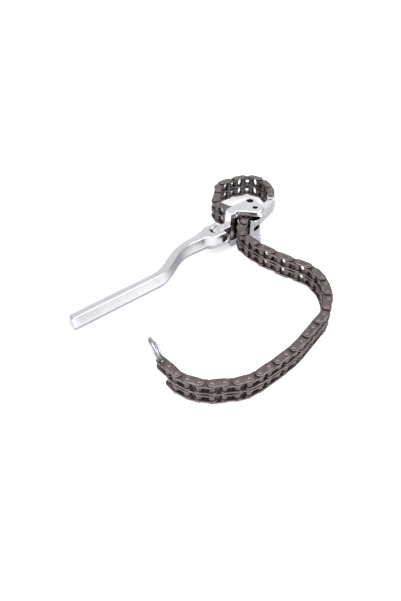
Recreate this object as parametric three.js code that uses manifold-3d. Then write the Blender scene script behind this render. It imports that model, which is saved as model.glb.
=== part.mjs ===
// Oil filter wrench with a swivel handle and a two-strand roller chain.
// Units are millimetres, +Z is up. The wrench lies flat, with its chain threaded
// through the slot of the head and its handle in line with the head.
//
// Layout frame used for the numbers below: X and Y lie in the plane of the chain,
// z = 0 is just above the top plates of the chain. The whole group is then shifted so
// that the origin is the middle of the underside.
// "Left" and "right" are as seen from above, looking along a part's heading.
// Headings are in degrees, anticlockwise from +X.

import * as THREE from 'three';
import { mergeVertices } from 'three/addons/utils/BufferGeometryUtils.js';
import Module from 'manifold-3d';

const wasm = await Module();
wasm.setup();

// ---------------------------------------------------------------- shared dimensions
// cheeks: the two flat plates of the head, above and below the chain
const UPPER_CHEEK = { inside: 0.7, outside: 6.5 };
const LOWER_CHEEK = { inside: -23.6, outside: -31.8 };
const ORIGIN = new THREE.Vector3(24.768, 129.856, LOWER_CHEEK.outside);

const HANDLE_MID = -12.5;        // mid-height of the handle, its fork and the tongue
const CUT_REACH = 20;            // cutters of the handle joint reach this far each way

const MATERIALS = {
  outerLink: { color: 0x8d827b, roughness: 0.42, metalness: 0.85 },
  innerLink: { color: 0x7d736d, roughness: 0.42, metalness: 0.85 },
  handle: { color: 0xd6d4d9, roughness: 0.22, metalness: 1.0 },
  pivotPin: { color: 0x3a3a3c, roughness: 0.4, metalness: 0.9 },
  head: { color: 0xd8d6db, roughness: 0.2, metalness: 1.0 },
  crossPin: { color: 0x2c2c2e, roughness: 0.45, metalness: 0.9 },
  ring: { color: 0xcfd0d4, roughness: 0.25, metalness: 1.0 },
};

// ---------------------------------------------------------------- solids and meshes
const rad = (degrees) => (degrees * Math.PI) / 180;

function meshSolid(positions, triangles) {
  return new wasm.Manifold(new wasm.Mesh({
    numProp: 3,
    vertProperties: new Float32Array(positions),
    triVerts: new Uint32Array(triangles),
  }));
}

// solid from points and triangles wound alike, turned outward if they face inward
function outwardSolid(points, triangles) {
  const solid = meshSolid(points.flat(), triangles.flat());
  if (solid.volume() >= 0) return solid;
  return meshSolid(points.flat(), triangles.flatMap(([a, b, c]) => [a, c, b]));
}

function toGeometry(solid) {
  const mesh = solid.getMesh();
  const geometry = new THREE.BufferGeometry();
  geometry.setAttribute('position', new THREE.BufferAttribute(mesh.vertProperties.slice(), 3));
  geometry.setIndex(Array.from(mesh.triVerts));
  geometry.computeVertexNormals();
  return geometry;
}

// outline extruded along Z from low to high, then placed by the matrix
function prism(outline, low, high, matrix = null) {
  const shape = new THREE.Shape(outline.map(([x, y]) => new THREE.Vector2(x, y)));
  const extruded = new THREE.ExtrudeGeometry(shape, {
    depth: high - low, bevelEnabled: false, steps: 1,
  });
  extruded.translate(0, 0, low);
  if (matrix) extruded.applyMatrix4(matrix);
  extruded.deleteAttribute('normal');
  extruded.deleteAttribute('uv');
  const merged = mergeVertices(extruded, 1e-4);
  return meshSolid(merged.attributes.position.array, merged.index.array);
}

// triangles between two rings of points, given the index of each ring's first point
function bandTriangles(first, second, size) {
  const triangles = [];
  for (let i = 0; i < size; i++) {
    const next = (i + 1) % size;
    triangles.push([first + i, first + next, second + next]);
    triangles.push([first + i, second + next, second + i]);
  }
  return triangles;
}

// cap triangles of a convex ring, and of a level ring that may be concave
const fanCap = (ring) => ring.slice(2).map((_, i) => [0, i + 1, i + 2]);
const levelCap = (ring) => THREE.ShapeUtils.triangulateShape(
  ring.map(([x, y]) => new THREE.Vector2(x, y)), []);

// closed skin over rings of equally many points
function loft(rings, cap = fanCap) {
  const size = rings[0].length;
  const last = (rings.length - 1) * size;
  const triangles = [];
  for (let start = 0; start < last; start += size) {
    triangles.push(...bandTriangles(start, start + size, size));
  }
  for (const [a, b, c] of cap(rings[0])) triangles.push([a, c, b]);
  for (const [a, b, c] of cap(rings.at(-1))) triangles.push([last + a, last + b, last + c]);
  return outwardSolid(rings.flat(), triangles);
}

// ---------------------------------------------------------------- outlines
// elliptical arc between two angles in degrees, both ends included
function arc(x, y, radiusX, radiusY, from, to, steps) {
  const points = [];
  for (let i = 0; i <= steps; i++) {
    const angle = rad(from + ((to - from) * i) / steps);
    points.push([x + radiusX * Math.cos(angle), y + radiusY * Math.sin(angle)]);
  }
  return points;
}

// regular polygon; turn is the first corner's place, in sides past +X
function circle(x, y, radius, sides, turn = 0.5) {
  const points = [];
  for (let i = 0; i < sides; i++) {
    const angle = (2 * Math.PI * (i + turn)) / sides;
    points.push([x + radius * Math.cos(angle), y + radius * Math.sin(angle)]);
  }
  return points;
}

const rectangle = (x0, x1, y0, y1) => [[x0, y0], [x1, y0], [x1, y1], [x0, y1]];

// ---------------------------------------------------------------- group
const root = new THREE.Group();
root.position.copy(ORIGIN).negate();

function addMesh(name, geometry, material) {
  const mesh = new THREE.Mesh(geometry, new THREE.MeshStandardMaterial(material));
  mesh.name = name;
  root.add(mesh);
  return mesh;
}

// ---------------------------------------------------------------- chain links
const PITCH = 9.525;
const HALF_PITCH = PITCH / 2;
const CHAIN_MID = -11.55;        // mid-plane of the chain
const STRAND_OFFSET = 5.12;      // strand centre above or below the mid-plane
const STRAND_HALF_WIDTH = 4.2;   // half width over the inner plates of one strand
const INNER_PLATE = { thickness: 1.3, radius: 4.1 };
const OUTER_PLATE = { thickness: 1.2, radius: 3.6 };
const MID_PLATE_THICKNESS = 1.2; // plate of an outer link between the strands
const SIDE_GAP = 0.3;            // between an inner and an outer plate
const PIN_RADIUS = 1.5;
const PIN_INSET = 0.6;           // pin end below the face of the outer plate
const BUSH_BORE_RADIUS = 2.15;
const ROLLER_RADIUS = 3.25;
const ROLLER_INSET = 0.5;        // roller end inside the face of the strand
const RING_HOLE_RADIUS = 2.35;
const BRIDGE = { x: 1.4, y: 4.6, overlap: 0.4 };   // tie between the strands of an inner link

const UPPER_STRAND_MID = CHAIN_MID + STRAND_OFFSET;
const UPPER_STRAND_TOP = UPPER_STRAND_MID + STRAND_HALF_WIDTH;
const UPPER_STRAND_LOW = UPPER_STRAND_MID - STRAND_HALF_WIDTH;
const OUTER_TOP = UPPER_STRAND_TOP + SIDE_GAP + OUTER_PLATE.thickness;
const mirrored = (z) => 2 * CHAIN_MID - z;         // height on the other side of the mid-plane

// link outline: two rounded ends joined by straight sides
const linkOutline = (radius) => [
  ...arc(HALF_PITCH, 0, radius, radius, -90, 90, 3),
  ...arc(-HALF_PITCH, 0, radius, radius, 90, 270, 3),
];

// two plates whose outer faces are at low and high
function platePair({ thickness, radius }, low, high) {
  const outline = linkOutline(radius);
  return prism(outline, low, low + thickness).add(prism(outline, high - thickness, high));
}

function outerLink() {
  const halfMid = MID_PLATE_THICKNESS / 2;
  const low = mirrored(OUTER_TOP);
  let link = platePair(OUTER_PLATE, low, OUTER_TOP)
    .add(prism(linkOutline(OUTER_PLATE.radius), CHAIN_MID - halfMid, CHAIN_MID + halfMid));
  for (const x of [-HALF_PITCH, HALF_PITCH]) {
    link = link.add(prism(circle(x, 0, PIN_RADIUS, 6), low + PIN_INSET, OUTER_TOP - PIN_INSET));
  }
  return link;
}

// one strand of an inner link, with a bored roller at each given x
function strand(mid, rollers) {
  const low = mid - STRAND_HALF_WIDTH;
  const high = mid + STRAND_HALF_WIDTH;
  let solid = platePair(INNER_PLATE, low, high);
  for (const x of rollers) {
    const roller = circle(x, 0, ROLLER_RADIUS, 6);
    solid = solid.add(prism(roller, low + ROLLER_INSET, high - ROLLER_INSET));
  }
  for (const x of rollers) {
    solid = solid.subtract(prism(circle(x, 0, BUSH_BORE_RADIUS, 6), low - 1, high + 1));
  }
  return solid;
}

function innerLink() {
  const rollers = [-HALF_PITCH, HALF_PITCH];
  const bridge = rectangle(-BRIDGE.x / 2, BRIDGE.x / 2, -BRIDGE.y / 2, BRIDGE.y / 2);
  return strand(UPPER_STRAND_MID, rollers)
    .add(strand(mirrored(UPPER_STRAND_MID), rollers))
    .add(prism(bridge, mirrored(UPPER_STRAND_LOW) - BRIDGE.overlap,
      UPPER_STRAND_LOW + BRIDGE.overlap));
}

// the free end: upper strand only, with an open hole for the ring in place of one roller
function endLink() {
  const hole = circle(-HALF_PITCH, 0, RING_HOLE_RADIUS, 10);
  return strand(UPPER_STRAND_MID, [HALF_PITCH])
    .subtract(prism(hole, UPPER_STRAND_LOW - 1, UPPER_STRAND_TOP + 1));
}

// ---------------------------------------------------------------- chain path
const CHAIN_START = new THREE.Vector3(-6.78, 7.25, 0);   // open hole of the free end
// heading of every link, from the free end to the fixed end
const HEADING = [
  -47.0, -50.5, -32.01, -18.99, -7.38, 7.22, 6.16, 17.59, 31.74, 40.05, 39.03, 42.53,
  42.86, 48.91, 53.25, 53.03, 53.9, 51.26, 65.66, 74.13, 82.7, 93.34, 101.35, 116.03,
  128.32, 148.05, 149.98, 144.55, 141.69, 143.2, 132.35, 131.37, 123.96, 97.47, 66.53,
  73.19, 107.16, 141.57, 175.05, 143.46, 109.77, 76.33, 83.33, 90.91, 62.08, 35.79,
  32.25, 24.48, 0.77, -32.48, -57.75, -69.92, -79.77, -93.1];
// droop of the loop: tilt about X of the last links, in degrees; the others lie level
const TILT = [
  0.72, 1.44, 2.16, 2.88, 3.6, 4.32, 5.04, 5.76, 6.48, 7.2, 7.2, 7.2, 6.72, 6.24, 5.76, 5.28];
const LEVEL_LINKS = HEADING.length - TILT.length;

// start, end and axes of every link
function chainFrames() {
  let start = CHAIN_START;
  return HEADING.map((degrees, i) => {
    const heading = rad(degrees);
    const tilt = rad(i < LEVEL_LINKS ? 0 : TILT[i - LEVEL_LINKS]);
    const along = new THREE.Vector3(
      Math.cos(heading), Math.sin(heading) * Math.cos(tilt), -Math.sin(heading) * Math.sin(tilt));
    const up = new THREE.Vector3(0, Math.sin(tilt), Math.cos(tilt));
    const side = new THREE.Vector3().crossVectors(up, along);
    const end = start.clone().addScaledVector(along, PITCH);
    const frame = { start, end, basis: new THREE.Matrix4().makeBasis(along, side, up) };
    start = end;
    return frame;
  });
}

function addChain(frames) {
  const outerGeometry = toGeometry(outerLink());
  const innerGeometry = toGeometry(innerLink());
  const endGeometry = toGeometry(endLink());
  frames.forEach(({ start, end, basis }, i) => {
    const number = String(Math.floor(i / 2) + 1).padStart(2, '0');
    let mesh;
    if (i === 0) {
      mesh = addMesh('chain_end_link', endGeometry, MATERIALS.innerLink);
    } else if (i % 2 === 1) {
      mesh = addMesh(`outer_link_${number}`, outerGeometry, MATERIALS.outerLink);
    } else {
      mesh = addMesh(`inner_link_${number}`, innerGeometry, MATERIALS.innerLink);
    }
    mesh.position.copy(start).add(end).multiplyScalar(0.5);
    mesh.quaternion.setFromRotationMatrix(basis);
  });
}

// ---------------------------------------------------------------- fork frame
const FORK_HEADING = rad(34);
const FORK_ROOT = { x: 34.4, y: 175.0 };   // bottom of the slot of the fork
const PIVOT_AT = 9.6;                      // pivot, from the bottom of the slot
const PIVOT_PIN = { radius: 2.9, length: 20.4 };
const PIVOT_BORE_RADIUS = 3.25;

const forkAlong = new THREE.Vector3(Math.cos(FORK_HEADING), Math.sin(FORK_HEADING), 0);
const forkRight = new THREE.Vector3(Math.sin(FORK_HEADING), -Math.cos(FORK_HEADING), 0);
const forkPoint = (along, right, z) => [
  FORK_ROOT.x + along * forkAlong.x + right * forkRight.x,
  FORK_ROOT.y + along * forkAlong.y + right * forkRight.y,
  z];

// frame with local X along the fork, local Y up, local Z to the right
const forkMatrix = new THREE.Matrix4()
  .makeBasis(forkAlong, new THREE.Vector3(0, 0, 1), forkRight)
  .setPosition(FORK_ROOT.x, FORK_ROOT.y, HANDLE_MID);
const pivotMatrix = forkMatrix.clone()
  .multiply(new THREE.Matrix4().makeTranslation(PIVOT_AT, 0, 0));

// cylinder about the pivot axis, reaching equally far each way
const pivotRod = (radius, reach) => prism(circle(0, 0, radius, 12, 0), -reach, reach, pivotMatrix);

// ---------------------------------------------------------------- handle
const BAR_HALF_HEIGHT = 7.5;
const BAR_END_DROP = 1.2;        // the free end of the bar is lower by this, top and bottom
// centre line of the bar: [x, y, half width of the flat top, half width at mid-height]
const BAR = [
  [-85.6, 55.8, 2.3, 4.9], [-84.2, 56.9, 3.0, 5.9], [-60.0, 75.9, 3.0, 5.9],
  [-30.0, 99.2, 3.0, 5.9], [-19.6, 107.3, 3.1, 5.9], [-13.2, 113.2, 3.4, 6.1],
  [-8.6, 120.2, 3.6, 6.3], [-5.2, 128.4, 3.7, 6.4], [-1.9, 136.8, 3.6, 6.3],
  [2.0, 145.0, 3.5, 6.2], [7.2, 152.4, 3.5, 6.2], [13.4, 158.6, 3.7, 6.6],
  [19.6, 163.6, 4.3, 7.3]];
const FORK_END = 13.6;           // end of the body of the fork, from the bottom of the slot
// fork: [place along the fork, half width of the flat top, half width at mid-height]
const FORK = [[-9.5, 5.6, 8.0], [-5.2, 8.6, 10.0], [-1.5, 9.6, 10.7], [FORK_END, 9.8, 10.8]];
const SLOT = { halfWidth: 8.8 / 2, length: 30, chamferDepth: 1.2, chamferWidth: 1.5 };
// side view of the tine ends: half ellipse, and the block it is cut from
const TINE_ROUND = {
  setback: 4.6, radiusX: 4.8, radiusY: BAR_HALF_HEIGHT + 0.4, cutBeyond: 8, cutHalfHeight: 12,
};

// six-sided cross-section as [offset to the right, height above mid-height]
const barSection = (top, mid, height) => [
  [-top, height], [top, height], [mid, 0], [top, -height], [-top, -height], [-mid, 0]];

function barRings() {
  return BAR.map(([x, y, top, mid], i) => {
    const [beforeX, beforeY] = BAR[Math.max(0, i - 1)];
    const [afterX, afterY] = BAR[Math.min(BAR.length - 1, i + 1)];
    const distance = Math.hypot(afterX - beforeX, afterY - beforeY);
    const rightX = (afterY - beforeY) / distance;
    const rightY = -(afterX - beforeX) / distance;
    const height = i === 0 ? BAR_HALF_HEIGHT - BAR_END_DROP : BAR_HALF_HEIGHT;
    return barSection(top, mid, height)
      .map(([right, z]) => [x + right * rightX, y + right * rightY, HANDLE_MID + z]);
  });
}

function forkSlot() {
  const { halfWidth, length, chamferDepth, chamferWidth } = SLOT;
  const outline = [
    [0, -halfWidth], [length, -halfWidth], [length, halfWidth], [0, halfWidth],
    [-chamferDepth, halfWidth - chamferWidth], [-chamferDepth, -halfWidth + chamferWidth],
  ].map(([along, right]) => forkPoint(along, right, 0));
  return prism(outline, HANDLE_MID - CUT_REACH, HANDLE_MID + CUT_REACH);
}

// cutter that leaves the ends of the tines rounded, seen from the side
function tineRounding() {
  const { setback, radiusX, radiusY, cutBeyond, cutHalfHeight } = TINE_ROUND;
  const centre = FORK_END - setback;
  const outline = [
    [FORK_END + cutBeyond, -cutHalfHeight],
    [centre, -cutHalfHeight],
    ...arc(centre, 0, radiusX, radiusY, -90, 90, 8),
    [centre, cutHalfHeight],
    [FORK_END + cutBeyond, cutHalfHeight],
  ];
  return prism(outline, -CUT_REACH, CUT_REACH, forkMatrix);
}

function handle() {
  const forkRings = FORK.map(([along, top, mid]) => barSection(top, mid, BAR_HALF_HEIGHT)
    .map(([right, z]) => forkPoint(along, right, HANDLE_MID + z)));
  return loft([...barRings(), ...forkRings])
    .subtract(forkSlot())
    .subtract(tineRounding())
    .subtract(pivotRod(PIVOT_BORE_RADIUS, CUT_REACH));
}

// ---------------------------------------------------------------- head: tongue and flare
const TONGUE = { halfWidth: 8.0 / 2, radius: 7.3, end: 21 };
// flare from the tongue up and down to the cheeks:
// [place along the fork, left edge, right edge, bottom, top]
const FLARE = [
  [18.2, -TONGUE.halfWidth, TONGUE.halfWidth,
    HANDLE_MID - TONGUE.radius, HANDLE_MID + TONGUE.radius],
  [20.2, -5.6, 3.6, HANDLE_MID - 7.9, HANDLE_MID + 7.9],
  [21.8, -7.6, 2.2, HANDLE_MID - 13.2, HANDLE_MID + 13.0],
  [23.3, -8.6, 0.8, LOWER_CHEEK.outside, UPPER_CHEEK.outside],
  [28.6, -9.4, 1.6, LOWER_CHEEK.outside, UPPER_CHEEK.outside]];

// tongue between the tines, rounded about the pivot
function tongue() {
  const { halfWidth, radius, end } = TONGUE;
  const outline = [
    ...arc(PIVOT_AT, 0, radius, radius, 90, 270, 10), [end, -radius], [end, radius]];
  return prism(outline, -halfWidth, halfWidth, forkMatrix);
}

const flare = () => loft(FLARE.map(([along, left, right, bottom, top]) => [
  forkPoint(along, left, top), forkPoint(along, right, top),
  forkPoint(along, right, bottom), forkPoint(along, left, bottom)]));

// ---------------------------------------------------------------- head: cheeks and web
// plan outlines, [x, y]; both cheeks share the edge on the +Y side
const CHEEK_SHARED_EDGE = [
  [83.3, 207.6], [81.4, 211.4], [78.8, 214.6], [75.6, 216.4], [72.6, 215.8], [62.0, 207.2],
  [54.0, 200.6]];
const UPPER_OUTLINE = [
  [50.2, 196.2], [53.4, 188.4], [60.4, 193.4], [70.5, 192.2], [80.1, 190.6], [84.6, 193.6],
  [87.0, 199.0], [85.6, 204.6], ...CHEEK_SHARED_EDGE];
const LOWER_OUTLINE = [
  [50.2, 196.2], [55.2, 183.4], [60.6, 187.6], [70.5, 189.0], [80.1, 189.0], [83.4, 189.4],
  [86.0, 190.6], [86.2, 193.4], [84.2, 195.0], [84.4, 204.6], ...CHEEK_SHARED_EDGE];
const CHEEK_CHAMFER = 0.9;
const CHEEK_OVERLAP = 0.5;       // parts between the cheeks run into them by this
// web between the cheeks on the handle side, [x, y]
const WEB = [
  [50.2, 196.2], [54.8, 187.8], [57.6, 188.6], [60.2, 190.6], [60.9, 193.2], [58.6, 197.0],
  [54.6, 199.2]];

// a cheek with a chamfer round its outside face
function cheek(outline, { inside, outside }) {
  let centreX = 0;
  let centreY = 0;
  for (const [x, y] of outline) {
    centreX += x / outline.length;
    centreY += y / outline.length;
  }
  const shrunk = outline.map(([x, y]) => {
    const distance = Math.hypot(x - centreX, y - centreY);
    const kept = distance - CHEEK_CHAMFER;
    return [
      centreX + ((x - centreX) * kept) / distance,
      centreY + ((y - centreY) * kept) / distance];
  });
  const ring = (points, z) => points.map(([x, y]) => [x, y, z]);
  const chamferStart = outside - Math.sign(outside - inside) * CHEEK_CHAMFER;
  return loft([ring(outline, inside), ring(outline, chamferStart), ring(shrunk, outside)],
    levelCap);
}

const web = () => prism(WEB, LOWER_CHEEK.inside - CHEEK_OVERLAP,
  UPPER_CHEEK.inside + CHEEK_OVERLAP);

// ---------------------------------------------------------------- head: arm and eye
// curved bar from the +X side of the cheeks round to the fixed end of the chain:
// [x, y, half width, top, lower right edge, lower left edge, heading]
const ARM = [
  [81.0, 195.6, 5.2, 4.2, -7.0, -30.0, 62],
  [87.2, 202.6, 5.6, 3.8, -7.0, -17.0, 56],
  [92.4, 211.0, 5.3, 2.8, -8.0, -16.0, 62],
  [95.9, 219.6, 4.7, 0.9, -11.4, -18.0, 72],
  [97.3, 226.4, 4.2, -1.6, -14.0, -21.6, 82]];
// eye outline about the last chain pin: round end, then straight into the arm
const EYE_RADIUS = 4.0;
const EYE_OUTLINE = [
  ...arc(0, 0, EYE_RADIUS, EYE_RADIUS, 210, 270, 2),
  [9.6, -4.2], [9.6, 4.2],
  ...arc(0, 0, EYE_RADIUS, EYE_RADIUS, 90, 180, 3)];
const EYE_OVERLAP = 1;           // upper part of the eye runs below the mid-plane by this
const LOWER_EYE = { maxX: 3.4, scaleX: 0.82, scaleY: 0.78 };   // upper outline cut and shrunk
const PLATE_CLEARANCE = { radius: OUTER_PLATE.radius + 0.5, height: 6 };
const MID_PLATE_CLEARANCE = rectangle(-6, 5.2, -6, 6);
const EYE_BORE = { radius: PIN_RADIUS + 0.4, low: -40, high: 10 };

function arm() {
  return loft(ARM.map(([x, y, half, top, lowRight, lowLeft, heading]) => {
    const rightX = Math.sin(rad(heading));
    const rightY = -Math.cos(rad(heading));
    // cross-section as [offset to the right, z]
    const section = [
      [-half + 0.6, top - 0.4], [half * 0.3, top], [half - 1.2, top - 1.0],
      [half, top - 2.8], [half, lowRight + 1.6], [half - 1.8, lowRight - 0.8],
      [-half + 0.6, lowLeft], [-half, lowLeft + 1.2], [-half, top - 1.4]];
    return section.map(([right, z]) => [x + right * rightX, y + right * rightY, z]);
  }));
}

function addEye(solid, frame) {
  const { maxX, scaleX, scaleY } = LOWER_EYE;
  const lowerOutline = EYE_OUTLINE.map(([x, y]) => [Math.min(x, maxX) * scaleX, y * scaleY]);
  return solid
    .add(prism(EYE_OUTLINE, CHAIN_MID - EYE_OVERLAP, UPPER_STRAND_TOP, frame))
    .add(prism(lowerOutline, mirrored(UPPER_STRAND_TOP), CHAIN_MID, frame));
}

// clearance for the plates and the pin of the last link
function cutEye(solid, frame) {
  const { radius, height } = PLATE_CLEARANCE;
  const plate = circle(0, 0, radius, 12);
  const low = mirrored(UPPER_STRAND_TOP);
  const bore = circle(0, 0, EYE_BORE.radius, 8);
  return solid
    .subtract(prism(plate, UPPER_STRAND_TOP, UPPER_STRAND_TOP + height, frame))
    .subtract(prism(plate, low - height, low, frame))
    .subtract(prism(MID_PLATE_CLEARANCE, mirrored(UPPER_STRAND_LOW), UPPER_STRAND_LOW, frame))
    .subtract(prism(bore, EYE_BORE.low, EYE_BORE.high, frame));
}

// ---------------------------------------------------------------- head: guard wall
const WALL = { x0: 73.6, x1: 84.0, y0: 189.6, y1: 193.4, low: LOWER_CHEEK.outside + 1 };
// shoulder where the wall runs into the arm, [x, y]
const SHOULDER = {
  outline: [
    [82.0, 189.6], [84.2, 189.7], [85.6, 190.9], [86.4, 193.4], [85.0, 196.5], [82.0, 196.5]],
  low: -7.0,
  high: 2.4,
};
// half-moon opening under the upper cheek; near the wall's face it is also cut up to lipTop
const MOON = { x: 76.9, radiusX: 6.0, radiusZ: 4.6, lipTop: 1.4, depthTo: 203.0, lipDepthTo: 190.5 };
// slanted window below it, [x, z]
const WINDOW = {
  outline: [[77.9, -17.0], [82.6, -12.3], [82.6, -7.8], [77.9, -12.6]],
  depthTo: 194.6,
};
const WALL_CUT_FROM = 180;       // y where the cutters start, clear of the wall

function addWall(solid) {
  const { x0, x1, y0, y1, low } = WALL;
  return solid
    .add(prism(rectangle(x0, x1, y0, y1), low, UPPER_CHEEK.inside + CHEEK_OVERLAP))
    .add(prism(SHOULDER.outline, SHOULDER.low, SHOULDER.high));
}

function cutWall(solid) {
  // local X along X, local Y up, local Z towards -Y
  const frame = new THREE.Matrix4().makeBasis(
    new THREE.Vector3(1, 0, 0), new THREE.Vector3(0, 0, 1), new THREE.Vector3(0, -1, 0));
  const cutter = (outline, depthTo) => prism(outline, -depthTo, -WALL_CUT_FROM, frame);
  const { x, radiusX, radiusZ, lipTop, depthTo, lipDepthTo } = MOON;
  const moon = arc(x, UPPER_CHEEK.inside, radiusX, radiusZ, 180, 360, 12);
  const moonAndLip = [...moon, [x + radiusX, lipTop], [x - radiusX, lipTop]];
  return solid
    .subtract(cutter(moon, depthTo))
    .subtract(cutter(moonAndLip, lipDepthTo))
    .subtract(cutter(WINDOW.outline, WINDOW.depthTo));
}

// ---------------------------------------------------------------- head and its cross pins
const CROSS_PINS = [
  { name: 'nose_pin', x: 73.9, y: 210.9, boreRadius: 3.45, radius: 3.1, sides: 16 },
  { name: 'catch_pin', x: 78.3, y: 199.0, boreRadius: 2.6, radius: 2.25, sides: 14 }];
const PIN_RECESS = 1.6;          // pin ends inside the outside faces of the cheeks

function head(lastLink) {
  const eyeFrame = lastLink.basis.clone().setPosition(lastLink.end);
  let solid = tongue()
    .add(flare())
    .add(cheek(UPPER_OUTLINE, UPPER_CHEEK))
    .add(cheek(LOWER_OUTLINE, LOWER_CHEEK))
    .add(web())
    .add(arm());
  solid = cutEye(addEye(solid, eyeFrame), eyeFrame);
  solid = cutWall(addWall(solid));
  for (const { x, y, boreRadius, sides } of CROSS_PINS) {
    const bore = circle(x, y, boreRadius, sides);
    solid = solid.subtract(prism(bore, LOWER_CHEEK.outside - 1, UPPER_CHEEK.outside + 1));
  }
  return solid.subtract(pivotRod(PIVOT_BORE_RADIUS, CUT_REACH));
}

const crossPin = ({ x, y, radius, sides }) => prism(circle(x, y, radius, sides),
  LOWER_CHEEK.outside + PIN_RECESS, UPPER_CHEEK.outside - PIN_RECESS);

// ---------------------------------------------------------------- ring
// the ring passes through the open hole of the end link and round its end
const RING = { radius: 9.6, wireRadius: 1.05, segments: 24, wireSides: 6 };
const RING_HOLE_ANGLE = rad(35); // where on the ring the hole sits, below its centre
const RING_OUT = [-0.31385, 0.94814, 0.05019];     // in its plane, away from the chain
const RING_UP = [-0.32735, -0.15768, 0.93165];     // in its plane, upwards

function pullRing() {
  const { radius, wireRadius, segments, wireSides } = RING;
  const out = new THREE.Vector3(...RING_OUT).normalize();
  const up = new THREE.Vector3(...RING_UP);
  up.addScaledVector(out, -up.dot(out)).normalize();
  const normal = new THREE.Vector3().crossVectors(out, up);
  const centre = CHAIN_START.clone()
    .setZ(UPPER_STRAND_TOP - INNER_PLATE.thickness / 2)
    .addScaledVector(out, radius * Math.cos(RING_HOLE_ANGLE))
    .addScaledVector(up, radius * Math.sin(RING_HOLE_ANGLE));

  const points = [];
  const triangles = [];
  for (let i = 0; i < segments; i++) {
    const angle = (2 * Math.PI * i) / segments;
    const spoke = out.clone().multiplyScalar(Math.cos(angle))
      .addScaledVector(up, Math.sin(angle));
    for (let j = 0; j < wireSides; j++) {
      const wireAngle = (2 * Math.PI * j) / wireSides;
      points.push(centre.clone()
        .addScaledVector(spoke, radius + wireRadius * Math.cos(wireAngle))
        .addScaledVector(normal, wireRadius * Math.sin(wireAngle))
        .toArray());
    }
    const next = (i + 1) % segments;
    triangles.push(...bandTriangles(i * wireSides, next * wireSides, wireSides));
  }
  return outwardSolid(points, triangles);
}

// ---------------------------------------------------------------- assembly
const frames = chainFrames();
addChain(frames);
addMesh('handle', toGeometry(handle()), MATERIALS.handle);
addMesh('handle_pivot_pin', toGeometry(pivotRod(PIVOT_PIN.radius, PIVOT_PIN.length / 2)),
  MATERIALS.pivotPin);
addMesh('wrench_head', toGeometry(head(frames.at(-1))), MATERIALS.head);
for (const pin of CROSS_PINS) {
  addMesh(pin.name, toGeometry(crossPin(pin)), MATERIALS.crossPin);
}
addMesh('pull_ring', toGeometry(pullRing()), MATERIALS.ring);

export default root;
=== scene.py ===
"""Chain-type oil filter wrench: a bent handle, a forged head, a roller chain and a pull ring.

The design is given in layout millimetres: z = 0 is the top end of the chain pins, +X runs
to the right and +Y away from the camera. ORIGIN is the layout point that becomes the origin
of the row frame, in which the finished meshes stand in metres, +Z up.
"""
import math
from collections import namedtuple

import bpy
import bmesh
import numpy as np
from mathutils import Matrix, Vector


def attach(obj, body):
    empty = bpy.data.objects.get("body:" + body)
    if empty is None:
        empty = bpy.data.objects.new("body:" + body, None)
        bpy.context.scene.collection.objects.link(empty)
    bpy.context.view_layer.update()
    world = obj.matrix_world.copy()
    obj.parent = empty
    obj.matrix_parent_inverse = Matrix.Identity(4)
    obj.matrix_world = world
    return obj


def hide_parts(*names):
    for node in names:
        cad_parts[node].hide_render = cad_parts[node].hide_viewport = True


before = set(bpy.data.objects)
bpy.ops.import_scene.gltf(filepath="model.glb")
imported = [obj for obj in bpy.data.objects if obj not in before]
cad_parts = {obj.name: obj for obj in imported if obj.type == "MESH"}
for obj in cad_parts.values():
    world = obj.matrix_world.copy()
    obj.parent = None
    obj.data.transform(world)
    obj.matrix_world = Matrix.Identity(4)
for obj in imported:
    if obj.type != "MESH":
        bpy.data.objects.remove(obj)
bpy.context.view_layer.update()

ORIGIN = np.array([24.768, 129.856, -31.8])
MM = 0.001
SMOOTH_ANGLE = 32       # degrees; edges sharper than this stay hard

rad = math.radians


# ------------------------------------------------------------------ frames
def in_row_mm(point):
    """Layout point in the row frame, still in millimetres."""
    return np.asarray(point, float) - ORIGIN


def in_row(point):
    return in_row_mm(point) * MM


def in_metres(point):
    return np.array(point) * MM


def moved(shape, place):
    """A (verts, faces) shape with every point passed through place."""
    verts, faces = shape
    return [place(p) for p in verts], faces


# ------------------------------------------------------------------ meshes and objects
def smooth(mesh, angle=SMOOTH_ANGLE):
    mesh.polygons.foreach_set("use_smooth", [True] * len(mesh.polygons))
    mesh.set_sharp_from_angle(angle=rad(angle))


def new_mesh(name, shape, angle=SMOOTH_ANGLE, materials=(), face_materials=()):
    verts, faces = shape
    mesh = bpy.data.meshes.new(name)
    mesh.from_pydata([tuple(map(float, v)) for v in verts], [],
                     [tuple(map(int, f)) for f in faces])
    mesh.update()
    bm = bmesh.new()
    bm.from_mesh(mesh)
    for face, index in zip(bm.faces, face_materials):
        face.material_index = index
    bmesh.ops.recalc_face_normals(bm, faces=bm.faces)
    bm.to_mesh(mesh)
    bm.free()
    for material in materials:
        mesh.materials.append(material)
    smooth(mesh, angle)
    return mesh


def add_object(mesh, name=None, matrix=None):
    obj = bpy.data.objects.new(name or mesh.name, mesh)
    bpy.context.scene.collection.objects.link(obj)
    if matrix is not None:
        obj.matrix_world = matrix
    return obj


def register(obj, body, node):
    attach(obj, body)
    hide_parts(node)


def solid(shape, name="cut"):
    return add_object(new_mesh(name, shape, angle=30))


def bake(obj):
    """Replace the mesh by its result after the modifiers."""
    bpy.context.view_layer.update()
    graph = bpy.context.evaluated_depsgraph_get()
    mesh = bpy.data.meshes.new_from_object(obj.evaluated_get(graph))
    obj.modifiers.clear()
    old = obj.data
    obj.data = mesh
    bpy.data.meshes.remove(old)


def combine(base, shape, operation="DIFFERENCE"):
    tool = solid(shape)
    modifier = base.modifiers.new("b", "BOOLEAN")
    modifier.object = tool
    modifier.operation = operation
    modifier.solver = "MANIFOLD"
    bake(base)
    bpy.data.objects.remove(tool)


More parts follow.
